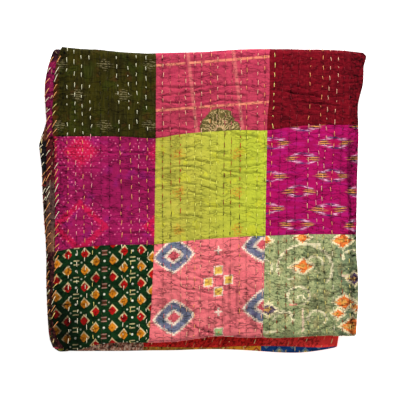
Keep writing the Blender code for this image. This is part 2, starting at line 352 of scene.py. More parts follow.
def linear(colour):
    """An sRGB colour of 0 to 255 as the linear one that a shader takes."""
    shares = [value / 255 for value in colour]
    return [s / 12.92 if s <= 0.04045 else ((s + 0.055) / 1.055) ** 2.4 for s in shares] + [1.0]


# The shape of the fold


def curve(places, values, place):
    """Values at the places on a smooth curve through a table. values may hold one column per place."""
    places = np.asarray(places, float)
    values = np.asarray(values, float)
    if places[0] > places[-1]:
        places = places[::-1]
        values = values[::-1]
    place = np.clip(np.asarray(place, float), places[0], places[-1])
    cell = np.clip(np.searchsorted(places, place) - 1, 0, len(places) - 2)
    before = np.maximum(cell - 1, 0)
    after = np.minimum(cell + 2, len(places) - 1)

    def value(row):
        if values.ndim == 1:
            return values[row]
        return np.take_along_axis(values, row[None], 0)[0]

    span = places[cell + 1] - places[cell]
    t = (place - places[cell]) / span
    here, there = value(cell), value(cell + 1)
    slope = (there - value(before)) / (places[cell + 1] - places[before]) * span
    end_slope = (value(after) - here) / (places[after] - places[cell]) * span
    return (
        (2 * t**3 - 3 * t**2 + 1) * here
        + (t**3 - 2 * t**2 + t) * slope
        + (3 * t**2 - 2 * t**3) * there
        + (t**3 - t**2) * end_slope
    )


def smooth(t):
    t = np.clip(t, 0, 1)
    return t * t * (3 - 2 * t)


def mix(first, second, share):
    return first + (second - first) * share


def column(rows, place):
    return [row[place] for row in rows]


def side_x(name, y):
    return curve(column(SIDES, 0), column(SIDES, SIDE_COLUMNS.index(name)), y)


def end_y(name, x):
    return curve(column(ENDS, 0), column(ENDS, END_COLUMNS.index(name)), x)


def long_seam(number, y):
    return curve(column(LONG_SEAMS, 0), column(LONG_SEAMS, number + 1), y)


def cross_seam(number, x):
    return curve(column(CROSS_SEAMS, 0), column(CROSS_SEAMS, number + 1), x)


def loft(x, y):
    x, y = np.broadcast_arrays(np.asarray(x, float), np.asarray(y, float))
    across = np.array([curve(LOFT_X, row[1], x) for row in LOFTS])
    return curve(column(LOFTS, 0), across, y)


def panel_edge(panel, kind, y):
    """The x of a hem, seam or fold of one panel."""
    if kind in ("upper", "lower", "fold"):
        return side_x(panel + "_" + kind, y)
    if panel == "top":
        return long_seam(kind, y)
    hem, fold = side_x(panel + "_upper", y), side_x(panel + "_fold", y)
    return mix(hem, fold, UPPER_SEAM_SHARES[kind])


def edge_x(stretch, share, kind, y):
    """The x of an edge, passing from one panel to the next in a fold."""
    if stretch == "back":
        return mix(panel_edge("low", kind, y), panel_edge("top", kind, y), smooth(share))
    if stretch == "front":
        return mix(panel_edge("top", kind, y), panel_edge("middle", kind, y), smooth(share))
    return panel_edge(stretch, kind, y)


def between(knots, place):
    """The value at a place counted in knots, on straight runs from knot to knot."""
    place = np.asarray(place, float)
    result = np.zeros(np.broadcast(place, *knots).shape)
    for number in range(len(knots) - 1):
        last = number == len(knots) - 2
        inside = (place >= number) & ((place < number + 1) | last)
        result = np.where(inside, mix(knots[number], knots[number + 1], place - number), result)
    return result


def fold_line(stretch, share, row, x, turned):
    """y and z of the middle of the two leaves, and the way in which the upper one lies.

    row counts the top panel's strips of patches from the back fold, 0, to the front fold, 3."""
    back, front = end_y("back_fold", x), end_y("front_fold", x)
    one, nought = np.ones_like(x), np.zeros_like(x)
    if stretch == "low":
        hem = mix(end_y("low_upper_hem", x), end_y("low_lower_hem", x), turned)
        return mix(hem, back, share), LOW_Z * one, nought, -one
    if stretch == "back":
        way_y, way_z = np.sin(np.pi * share) * one, -np.cos(np.pi * share) * one
        return back + BACK_RADIUS * way_y, LOW_Z + BACK_RADIUS * (1 + way_z), way_y, way_z
    if stretch == "top":
        knots = (back, cross_seam(0, x), cross_seam(1, x), front)
        return between(knots, row), TOP_Z * one, nought, one
    if stretch == "front":
        way_y, way_z = -np.sin(np.pi * share) * one, np.cos(np.pi * share) * one
        return front + FRONT_RADIUS * way_y, MIDDLE_Z + FRONT_RADIUS * (1 + way_z), way_y, way_z
    return mix(front, end_y("middle_hem", x), share), MIDDLE_Z * one, nought, -one


def cloth_points(stretch, share, row, across, out):
    """Points of the cloth for one stretch of rows, and their places on the flat cloth in metres.

    share and row are columns of numbers, across is a line of them: the patch place on the upper leaf
    from 0 to 3, the turn round the fold from 3 to 4, and the share of the lower leaf from 4, the fold,
    to 5, its hem. out is the height over the middle of the cloth, towards its face."""
    upper = across <= 3
    lower = across >= 4
    turn = np.pi * np.clip(across - 3, 0, 1)
    run = np.where(upper, across / 3, np.where(lower, 5 - across, 1.0))
    shape = np.broadcast(share, across, out).shape
    turned = np.broadcast_to(turn / np.pi, shape)
    x = mix(-HALF_WIDTH, HALF_WIDTH, np.broadcast_to(run, shape))
    for _ in range(3):
        y = fold_line(stretch, share, row, x, turned)[0]
        fold = edge_x(stretch, share, "fold", y)
        knots = [edge_x(stretch, share, kind, y) for kind in ("upper", 0, 1)] + [fold]
        x_upper = between(knots, np.clip(across, 0, 3))
        x_lower = mix(edge_x(stretch, share, "lower", y), fold, run)
        x = np.where(upper, x_upper, np.where(lower, x_lower, fold))
    y, z, way_y, way_z = fold_line(stretch, share, row, x, turned)
    lowered = np.where(lower, fold - x, 0.0)
    flat_x = np.where(upper, x, fold + turn * SKIN_RADIUS + lowered)
    front, back = end_y("front_fold", x), end_y("back_fold", x)
    flat_y = {
        "low": back + np.pi * BACK_SKIN + back - y,
        "back": back + np.pi * BACK_SKIN * (1 - share),
        "top": y,
        "front": front - np.pi * FRONT_SKIN * share,
        "middle": front - np.pi * FRONT_SKIN - (y - front),
    }[stretch]
    radius = LEAF_OFFSET + out
    x = x + radius * np.sin(turn)
    offset = radius * np.cos(turn)
    y = y + way_y * offset
    z = (z + way_z * offset) * loft(x, y)
    flat_y = np.broadcast_to(flat_y, shape)
    return np.stack([x, y, z], -1), flat_x, flat_y


# The relief of the quilting: heights in millimetres, widths and places in metres

PUFF_REACH = 0.0075
PUFF_HEIGHT = 0.55
SWELL = 0.9
SEAM_DEPTH = 0.75
SEAM_WIDTH = 0.0013
SEAM_LIFT = 0.30
SEAM_TURN_IN = 0.009
# A groove that runs along the right-hand fold, in the front part of the panel.
EDGE_GROOVE_X = 0.2985
EDGE_GROOVE_WIDTH = 0.0055
EDGE_GROOVE_DEPTH = 1.5
EDGE_GROOVE_END = 0.13


def lattice_noise(x, y, seed):
    """Smooth noise from -1 to 1 with a cell of 1."""
    table = np.random.RandomState(seed).uniform(-1, 1, (64, 64))
    column0, row0 = np.floor(x).astype(int), np.floor(y).astype(int)
    u, v = smooth(x - column0), smooth(y - row0)
    corner = [[table[(column0 + i) % 64, (row0 + j) % 64] for j in (0, 1)] for i in (0, 1)]
    return mix(mix(corner[0][0], corner[1][0], u), mix(corner[0][1], corner[1][1], u), v)


def row_x(rows, y):
    """The x of each row of stitches at y, all in metres; rows is a list of ROWS entries."""
    table = np.array([row[:3] for row in rows]) * MM
    heights = [-height for height in ROW_HEIGHTS]
    places = [np.interp(-np.ravel(y), heights, line) for line in table]
    return np.array(places).reshape((len(rows),) + np.shape(y))


def row_number(x, y):
    """Which row of stitches a place is on, with a fraction for a place between two rows."""
    number = np.zeros_like(x)
    places = row_x(ROWS, y)
    for before, after in zip(places[:-1], places[1:]):
        number += np.clip((x - before) / (after - before), 0, 1)
    return number


def quilting(x, y):
    """Puffs between the rows of stitches: 0 on a row, 1 half-way between two."""
    nearest = np.abs(row_x(ROWS, y) - x).min(0)
    return np.clip(nearest / PUFF_REACH, 0, 1) ** 0.7


def fine_folds(x_mm, y_mm, wide, high, seed):
    """Thin wandering troughs, from 0 to 1, of the given spacing in millimetres."""
    drift = 0.8 * lattice_noise(x_mm / (wide * 0.6), y_mm / (high * 1.7), seed + 1)
    level = lattice_noise(x_mm / wide, y_mm / high + drift, seed)
    return np.exp(-((level / 0.30) ** 2))


def ripples(x, y):
    """The puckers that the stitches draw up, in uneven short creases across the rows."""
    x_mm, y_mm = x / MM, y / MM
    drift = 9 * lattice_noise(x_mm / 46, y_mm / 60, 3) + 4 * lattice_noise(x_mm / 17, y_mm / 24, 4)
    pitch = 19 + 2 * lattice_noise(x_mm / 120, y_mm / 90, 5)
    wave = np.abs(np.sin(np.pi * (y_mm + drift) / pitch))
    strength = 0.5 + 0.5 * lattice_noise(x_mm / 30, y_mm / 13, 6)
    height = 0.75 * strength * (wave**0.6 - 0.7)
    patchy = smooth(0.55 + 0.9 * lattice_noise(x_mm / 27, y_mm / 19, 12))
    front = smooth((-60 - y_mm) / 40)
    height -= (0.65 + 0.3 * front) * patchy * fine_folds(x_mm, y_mm, 19, 8.5, 13)
    patchy = smooth(0.45 + 0.9 * lattice_noise(x_mm / 21, y_mm / 23, 15))
    height -= (0.35 + 0.5 * front) * patchy * fine_folds(x_mm, y_mm, 9.5, 10, 16)
    return height - 0.7 * front * fine_folds(x_mm, y_mm, 17, 15, 18)


def crease_relief(x, y):
    """The main creases: a narrow trough with a soft rim on each side, all in millimetres."""
    x_mm, y_mm = x / MM, y / MM
    wander = 1.6 * lattice_noise(x_mm / 9, y_mm / 9, 11)
    height = np.zeros_like(x_mm)
    for (x1, y1, *_), (x2, y2, depth) in (pair for line in CREASES for pair in zip(line, line[1:])):
        length = math.hypot(x2 - x1, y2 - y1)
        along_x, along_y = (x2 - x1) / length, (y2 - y1) / length
        along = (x_mm - x1) * along_x + (y_mm - y1) * along_y
        beside = (y_mm - y1) * along_x - (x_mm - x1) * along_y + wander
        past = np.maximum(0, np.maximum(-along, along - length))
        reach = np.exp(-((past / CREASE_FADE) ** 2))
        trough = np.exp(-((beside / CREASE_WIDTH) ** 2))
        rim = np.exp(-(((np.abs(beside) - CREASE_RIM) / RIM_WIDTH) ** 2))
        height += depth * reach * (RIM_HEIGHT * rim - trough)
    return height


def seam_relief(x, y):
    """A groove at each seam of the top panel, and the turned-in cloth that lifts one side of it."""
    height = np.zeros_like(x)
    for number in (0, 1):
        for away in (x - long_seam(number, y), y - cross_seam(number, x)):
            height -= SEAM_DEPTH * np.exp(-((away / SEAM_WIDTH) ** 2))
            height += SEAM_LIFT * smooth((away + 0.001) / 0.002) * smooth((SEAM_TURN_IN - away) / 0.003)
    return height


def top_relief(x, y):
    """The rise of the top layer's face over its plain place, in metres."""
    x, y = np.asarray(x, float), np.asarray(y, float)
    broad = SWELL * lattice_noise(x / 0.075, y / 0.055, 9) + 0.3
    height = PUFF_HEIGHT * (quilting(x, y) - 0.6) + ripples(x, y) + broad
    height = height + CREASE_SCALE * crease_relief(x, y) + seam_relief(x, y)
    beside = np.exp(-(((x - EDGE_GROOVE_X) / EDGE_GROOVE_WIDTH) ** 2))
    height -= EDGE_GROOVE_DEPTH * beside * smooth((EDGE_GROOVE_END - y) / 0.05)
    return np.maximum(height, -DEEPEST) * MM


def plain_relief(x, y):
    """The lower relief of the cloth elsewhere, where only its edges show."""
    x_mm, y_mm = np.asarray(x) / MM, np.asarray(y) / MM
    wave = lattice_noise(x_mm / 17, y_mm / 10, 21) + 0.6 * lattice_noise(x_mm / 7, y_mm / 5, 22)
    return 0.28 * wave * MM


def face_relief(stretch, share, across, flat_x, flat_y):
    """The rise of the face over its plain place, strongest on the top layer and none underneath."""
    relief = plain_relief(flat_x, flat_y)
    if stretch == "low":
        relief = np.where(across <= 3, 0.0, relief)
    if stretch in ("top", "back", "front"):
        shown = 1 - smooth((across - 3) / 0.5)
        if stretch == "back":
            shown = shown * smooth((share - 0.35) / 0.5)
        if stretch == "front":
            shown = shown * (1 - share)
        relief = mix(relief, top_relief(flat_x, flat_y), shown)
    return relief


# The mesh of the cloth


def split(start, end, cells):
    return [start + (end - start) * i / cells for i in range(cells)]


def whole(length, cell):
    """How many cells, in threes, fill a length."""
    return STRIDE * max(1, round(length / cell / STRIDE))


def run_of(start, end, cells, near=(), far=()):
    """Places from the start up to the end, without the end: cells of them, the first and last ones at
    the given distances from it."""
    places = [start] + [start + step for step in near[:-1]] if near else []
    inner = (start + near[-1] if near else start, end - far[-1] if far else end)
    places += split(*inner, cells - len(near) - len(far))
    return places + [end - step for step in reversed(far)]


def across_stations():
    """Places across the cloth, from the hem of the upper leaf to that of the lower one."""
    hem = [step / UPPER_WIDTHS[0] for step in HEM_STEPS]
    stations = []
    for number, width in enumerate(UPPER_WIDTHS):
        near = hem if number == 0 else [SEAM_REACH / width]
        cells = whole(width, CELL_ACROSS)
        stations += run_of(number, number + 1, cells, near, [SEAM_REACH / width])
    stations += split(3.0, 4.0, HAIRPIN_CELLS)
    knots = (4.0, 5 - LOWER_SEAM_SHARES[1], 5 - LOWER_SEAM_SHARES[0], 5.0)
    for start, end in zip(knots[:-1], knots[1:]):
        far = [step / LEAF_WIDTH for step in HEM_STEPS] if end == 5.0 else ()
        stations += run_of(start, end, whole(LEAF_WIDTH * (end - start), CELL_HIDDEN), (), far)
    return np.array(stations + [5.0])


def hidden_stations(stretch, knots, first_strip, near=(), far=()):
    """Coarse places along a hidden panel, with the steps of its hem at its near or its far end."""
    stations = []
    for number, (start, end) in enumerate(zip(knots, knots[1:])):
        cells = whole(PANEL_LENGTH * (end - start), CELL_HIDDEN)
        places = run_of(start, end, cells, near if start == 0.0 else (), far if end == 1.0 else ())
        stations += [(stretch, share, 0, first_strip + number) for share in places]
    return stations


def along_stations():
    """Places along the cloth, as (stretch, share, row, strip of patches)."""
    hem = [step / PANEL_LENGTH for step in HEM_STEPS]
    stations = hidden_stations("low", (0.0, *LOW_ROW_SHARES, 1.0), 0, near=hem)
    stations += [("back", share, 0, 3) for share in split(0.0, 1.0, BACK_CELLS)]
    for row, height in enumerate(TOP_HEIGHTS):
        near = [SEAM_REACH / height]
        places = run_of(row, row + 1, whole(height, CELL_TOP), near, near)
        stations += [("top", 0.0, place, 3 + row) for place in places]
    stations += [("front", share, 0, 5) for share in split(0.0, 1.0, FRONT_CELLS)]
    stations += hidden_stations("middle", (0.0, *MIDDLE_ROW_SHARES, 1.0), 6, far=hem)
    return stations + [("middle", 1.0, 0, 8)]


def hem_taper(across, stations):
    """How thick the cloth is against its full thickness: it rounds off at its hems."""
    side = np.minimum(across * UPPER_WIDTHS[0], (5 - across) * LEAF_WIDTH)[None, :]
    low = [share * PANEL_LENGTH if stretch == "low" else 1.0 for stretch, share, *_ in stations]
    middle = [(1 - share) * PANEL_LENGTH if stretch == "middle" else 1.0 for stretch, share, *_ in stations]
    nearest = np.minimum(side, np.minimum(low, middle)[:, None])
    inward = 1 - np.clip(nearest / HEM_STEPS[1], 0, 1)
    return 0.35 + 0.65 * np.sqrt(1 - inward**2)


def sheet_side(across, stations, face):
    """Points, flat places and relief of one side of the cloth, as grids."""
    taper = hem_taper(across, stations)
    points, flats, reliefs = [], [], []
    for stretch in ("low", "back", "top", "front", "middle"):
        rows = [j for j, station in enumerate(stations) if station[0] == stretch]
        share = np.array([stations[j][1] for j in rows], float)[:, None]
        row = np.array([stations[j][2] for j in rows], float)[:, None]
        thick = HALF * taper[rows]
        _, flat_x, flat_y = cloth_points(stretch, share, row, across[None, :], thick)
        relief = np.zeros_like(flat_x)
        if face:
            relief = face_relief(stretch, share, across[None, :], flat_x, flat_y) * smooth(taper[rows])
        out = thick + relief if face else -thick
        points.append(cloth_points(stretch, share, row, across[None, :], out)[0])
        flats.append(np.stack([flat_x, flat_y], -1))
        reliefs.append(relief)
    return [np.concatenate(parts) for parts in (points, flats, reliefs)]


def patch_column(across):
    """The patch's column at a place across the cloth."""
    if across < 4:
        return min(int(across), 2)
    share = 5 - across
    return 2 if share > LOWER_SEAM_SHARES[1] else 3 if share > LOWER_SEAM_SHARES[0] else 4


def painted(across, stations, count):
    """1 on the points whose stitches are painted: all but the top layer's face and its folds."""
    top = np.array([stretch in ("back", "top", "front") for stretch, *_ in stations])[:, None]
    sewn = (top & (across < 3.9)[None, :]).ravel()
    marks = np.ones(count)
    marks[: len(sewn)][sewn] = 0.0
    return marks


def add_object(name, data):
    """A new object in the scene."""
    piece = bpy.data.objects.new(name, data)
    bpy.context.scene.collection.objects.link(piece)
    return piece


def add_mesh(name, points, faces, materials, slots):
    """A new object with a smooth mesh; slots has the number of each face's material."""
    mesh = bpy.data.meshes.new(name)
    mesh.from_pydata(points, [], faces)
    for material in materials:
        mesh.materials.append(material)
    mesh.polygons.foreach_set("material_index", slots)
    mesh.polygons.foreach_set("use_smooth", [True] * len(faces))
    mesh.update()
    return add_object(name, mesh)


def fabric_at(patches, across, stations, i, j):
    """The fabric of the face after column i and row j of the grid, or of the last one."""
    i = min(i, len(across) - 2)
    return patches[stations[j][3]][patch_column((across[i] + across[i + 1]) / 2)]


def side_faces(patches, across, stations, start, turned):
    """The faces of one side of the cloth, from the point with the start number, and their fabrics."""
    columns = len(across)
    faces, fabrics = [], []
    for j in range(len(stations) - 1):
        for i in range(columns - 1):
            a = start + j * columns + i
            face = (a, a + 1, a + columns + 1, a + columns)
            faces.append((a, *face[:0:-1]) if turned else face)
            fabrics.append(fabric_at(patches, across, stations, i, j))
    return faces, fabrics


def build_cloth(fabrics):
    across, stations = across_stations(), along_stations()
    front = sheet_side(across, stations, face=True)
    back_across, back_stations = across[::STRIDE], stations[::STRIDE]
    back = sheet_side(back_across, back_stations, face=False)
    points = np.concatenate([front[0].reshape(-1, 3), back[0].reshape(-1, 3)])
    flats = np.concatenate([front[1].reshape(-1, 2), back[1].reshape(-1, 2)])
    reliefs = np.concatenate([front[2].ravel(), back[2].ravel()])
    columns, rows = len(across), len(stations)
    start = columns * rows
    faces, worn = side_faces(FACE_PATCHES, across, stations, 0, turned=False)
    back_faces, back_worn = side_faces(BACKING_PATCHES, back_across, back_stations, start, turned=True)
    rim = rim_faces(columns, rows, start, len(back_across), len(back_stations))
    for face in rim:
        j, i = divmod(face[0], columns)
        back_worn.append(fabric_at(FACE_PATCHES, across, stations, i, j))
    names = sorted(fabrics)
    slots = [names.index(name) for name in worn + back_worn]
    materials = [fabrics[name] for name in names]
    cloth = add_mesh("throw_cloth", points.tolist(), faces + back_faces + rim, materials, slots)
    mesh = cloth.data
    corners = np.empty(len(mesh.loops), np.int32)
    mesh.loops.foreach_get("vertex_index", corners)
    mesh.uv_layers.new(name="FlatCloth").data.foreach_set("uv", flats[corners].ravel())
    for name, values in (
        ("hollow", np.clip(-reliefs / MM, 0, 2)),
        ("inked", painted(across, stations, len(points))),
        ("row", row_number(flats[:, 0], flats[:, 1])),
    ):
        mesh.attributes.new(name, "FLOAT", "POINT").data.foreach_set("value", values)
    return cloth


def rim_faces(columns, rows, start, back_columns, back_rows):
    """The faces that close the cloth at its hems, from the fine side to the coarse one."""
    faces = []

    def close(fine, coarse, count, turned):
        """Closes one hem, given as the first point and the step from point to point on each side."""
        for i in range(count - 1):
            edge = [fine[0] + fine[1] * (STRIDE * i + k) for k in range(STRIDE + 1)]
            ends = [coarse[0] + coarse[1] * i, coarse[0] + coarse[1] * (i + 1)]
            faces.append(edge[::-1] + ends if turned else edge + ends[::-1])

    close((0, columns), (start, back_columns), back_rows, turned=False)
    right = (columns - 1, columns), (start + back_columns - 1, back_columns)
    close(*right, back_rows, turned=True)
    close((0, 1), (start, 1), back_columns, turned=True)
    last = (rows - 1) * columns, start + (back_rows - 1) * back_columns
    close((last[0], 1), (last[1], 1), back_columns, turned=False)
    return faces


# The stitches


def on_face(x, flat_y, lift):
    """Points over the face of the top layer's cloth, also round its back and front folds."""
    x, flat_y = np.asarray(x, float), np.asarray(flat_y, float)
    back, front = end_y("back_fold", x), end_y("front_fold", x)
    over = np.clip((flat_y - back) / (np.pi * BACK_SKIN), 0, 1)
    under = np.clip((front - flat_y) / (np.pi * FRONT_SKIN), 0, 1)
    plain = LEAF_OFFSET + HALF + lift
    relief = top_relief(x, flat_y) * smooth((0.65 - over) / 0.5) * (1 - under)
    offset = plain + relief
    y = np.clip(flat_y, front, back)
    y = y + (BACK_RADIUS + offset) * np.sin(np.pi * over) - (FRONT_RADIUS + offset) * np.sin(np.pi * under)
    z = TOP_Z + offset
    z = z - (BACK_RADIUS + offset) * (1 - np.cos(np.pi * over))
    z = z - (FRONT_RADIUS + offset) * (1 - np.cos(np.pi * under))
    return np.stack([x, y, z * loft(x, y)], -1)


STITCH_LENGTH = 0.0092
STITCH_LENGTHS = (0.35, 0.75, 0.9, 1.0, 1.1, 1.3)
STITCH_GAP = 0.0108
STITCH_GAPS = (0.72, 1.3)
STITCH_WANDER = 0.0007
STITCH_SLANT = 0.0009
SHARE_SKIPPED = 0.10
# How far the rows go on past the places of ROW_HEIGHTS, round the back and the front fold.
PAST_BACK = BACK_SKIN * 1.9
PAST_FRONT = 0.045
THREAD_RADIUS = 0.00062
THREAD_END = 0.55
THREAD_SIDES = 6
STITCH_SHARES = (0.0, 0.14, 0.36, 0.64, 0.86, 1.0)
STITCH_LIFTS = (-0.0011, 0.0003, 0.0007, 0.0007, 0.0003, -0.0011)


class Threads:
    """A mesh of many short tubes of thread, with a material for each colour."""

    def __init__(self):
        self.points = []
        self.faces = []
        self.slots = []

    def add(self, path, colour):
        """One stitch along the points of a path."""
        path = np.asarray(path, float)
        ahead = np.gradient(path, axis=0)
        ahead /= np.linalg.norm(ahead, axis=1)[:, None]
        beside = np.cross(ahead, (0.0, 0.0, 1.0))
        beside /= np.maximum(np.linalg.norm(beside, axis=1), 1e-6)[:, None]
        above = np.cross(beside, ahead)
        start = len(self.points)
        slot = sorted(THREADS).index(colour)
        for k in range(len(path)):
            thin = THREAD_END if k in (0, len(path) - 1) else 1.0
            for s in range(THREAD_SIDES):
                turn = 2 * math.pi * s / THREAD_SIDES
                spoke = beside[k] * math.cos(turn) + above[k] * math.sin(turn)
                self.points.append(tuple(path[k] + spoke * THREAD_RADIUS * thin))
        for k in range(len(path) - 1):
            for s in range(THREAD_SIDES):
                a = start + k * THREAD_SIDES + s
                b = start + k * THREAD_SIDES + (s + 1) % THREAD_SIDES
                self.faces.append((a, b, b + THREAD_SIDES, a + THREAD_SIDES))
        first = [start + s for s in range(THREAD_SIDES)]
        last = [s + (len(path) - 1) * THREAD_SIDES for s in first]
        self.faces += [tuple(first[::-1]), tuple(last)]
        self.slots += [slot] * (THREAD_SIDES * (len(path) - 1) + 2)

    def build(self, name, materials):
        dyed = [materials[colour] for colour in sorted(THREADS)]
        return add_mesh(name, self.points, self.faces, dyed, self.slots)


def thread_of(row, x, y):
    """The colour of a row's thread at a place on the top layer."""
    strip = 0 if y > cross_seam(0, x) else 1 if y > cross_seam(1, x) else 2
    if strip == 1 and y < TICKS_DARKEN and row[3][strip] in RED_TICKS:
        return "dark"
    return row[3][strip]


def running_stitches(materials):
    """The rows of running stitch on the top layer, over its back and front folds."""
    threads = Threads()
    chance = random.Random(31)
    shares, lifts = np.array(STITCH_SHARES), np.array(STITCH_LIFTS)
    for row in ROWS:
        y = ROW_HEIGHTS[0] + PAST_BACK + chance.uniform(0, STITCH_GAP)
        lean = chance.uniform(-0.0004, 0.0004)
        while y > ROW_HEIGHTS[2] - PAST_FRONT:
            length = STITCH_LENGTH * chance.choice(STITCH_LENGTHS)
            skipped = chance.random() < SHARE_SKIPPED
            if not skipped:
                middle = y - length / 2
                place = float(row_x([row], middle)[0])
                place += chance.gauss(0, STITCH_WANDER)
                slant = chance.gauss(lean, STITCH_SLANT)
                xs = place + slant * (shares - 0.5)
                threads.add(on_face(xs, y - length * shares, lifts), thread_of(row, place, middle))
            y -= length + STITCH_GAP * chance.uniform(*STITCH_GAPS)
    return threads.build("running_stitches", materials)


HEM_PITCH = 0.0185


def whip(threads, chance, y, edge, z, colour, reach):
    """A stitch that goes over a hem, from its upper side round its edge."""
    lean = -chance.uniform(0.006, 0.013)
    inner = reach * chance.uniform(0.75, 1.15)
    threads.add(
        [
            (edge + inner, y - lean, z + 0.0001),
            (edge + inner * 0.8, y - lean * 0.75, z + HALF + 0.0008),
            (edge + inner * 0.4, y - lean * 0.2, z + HALF + 0.0010),
            (edge + 0.0006, y + lean * 0.3, z + HALF * 0.75 + 0.0007),
            (edge - 0.0008, y + lean * 0.45, z),
            (edge + 0.0014, y + lean * 0.55, z - HALF - 0.0003),
        ],
        colour,
    )


def hem_stitches(materials):
    """The whip stitches on the hems that show at the left."""
    threads = Threads()
    chance = random.Random(5)
    hems = (
        # layer, height, y from, y to, colours, reach
        ("top_upper", TOP_Z + LEAF_OFFSET, -0.272, 0.283, ("cream", "peach", "peach", "gold"), 0.0085),
        ("top_lower", TOP_Z - LEAF_OFFSET, -0.110, 0.283, ("peach", "cream", "peach"), 0.0085),
        ("middle_lower", MIDDLE_Z + LEAF_OFFSET, -0.240, 0.120, ("cream", "peach", "cream"), 0.0070),
    )
    for layer, height, low, high, colours, reach in hems:
        y = high
        while y > low:
            edge = float(side_x(layer, y))
            z = height * float(loft(edge, y))
            whip(threads, chance, y, edge, z, chance.choice(colours), reach)
            y -= HEM_PITCH * chance.uniform(0.7, 1.3)
    return threads.build("hem_stitches", materials)


# The dyes


def feed(tree, node, inputs):
    """Gives the inputs of a node, by name or number, a value, or a link from a socket or a field."""
    for place, value in inputs.items():
        if isinstance(value, Field):
            value = value.socket
        if isinstance(value, bpy.types.NodeSocket):
            tree.links.new(value, node.inputs[place])
        else:
            node.inputs[place].default_value = value


def new_node(tree, kind, inputs, **settings):
    node = tree.nodes.new("ShaderNode" + kind)
    for name, value in settings.items():
        setattr(node, name, value)
    feed(tree, node, inputs)
    return node


def new_material(name):
    """A new material, its node tree and its shader."""
    material = bpy.data.materials.new(name)
    material.use_nodes = True
    return material, material.node_tree, material.node_tree.nodes["Principled BSDF"]


class Field:
    """A number that varies over the cloth, worked out by math nodes."""

    def __init__(self, tree, socket):
        self.tree = tree
        self.socket = socket

    def math(self, operation, *others):
        inputs = dict(enumerate((self, *others)))
        return Field(self.tree, new_node(self.tree, "Math", inputs, operation=operation).outputs[0])

    def __add__(self, other):
        return self.math("ADD", other)

    __radd__ = __add__

    def __sub__(self, other):
        return self.math("SUBTRACT", other)

    def __rsub__(self, other):
        return self.math("MULTIPLY_ADD", -1.0, other)

    def __mul__(self, other):
        return self.math("MULTIPLY", other)

    def __truediv__(self, other):
        return self.math("DIVIDE", other)

    def __abs__(self):
        return self.math("ABSOLUTE")

    def square(self):
        return self * self

    def root(self):
        return self.math("SQRT")

    def most(self, other):
        """The greater of the two."""
        return self.math("MAXIMUM", other)

    def least(self, other):
        return self.math("MINIMUM", other)

    def cell(self, period):
        """The distance to the nearest multiple of the period, from minus to plus half of it."""
        return (self + period / 2).math("FLOORED_MODULO", period) - period / 2

    def number(self, period):
        """Which multiple of the period is the nearest."""
        return (self / period + 0.5).math("FLOOR")

    def odd(self):
        return self.math("FLOORED_MODULO", 2.0)

    def stepped(self, step):
        return (self / step).math("ROUND") * step

    def inside(self, limit, soft=1.0):
        """1 where this is under the limit, 0 over it, with a soft edge."""
        ends = {"From Min": limit - soft, "From Max": limit + soft, "To Min": 1.0, "To Max": 0.0}
        inputs = {"Value": self, **ends}
        node = new_node(self.tree, "MapRange", inputs, interpolation_type="SMOOTHSTEP")
        return Field(self.tree, node.outputs[0])

    def band(self, low, high, soft=1.0):
        return self.inside(high, soft) * (1 - self.inside(low, soft))


PAINTED_PITCH = 17.0


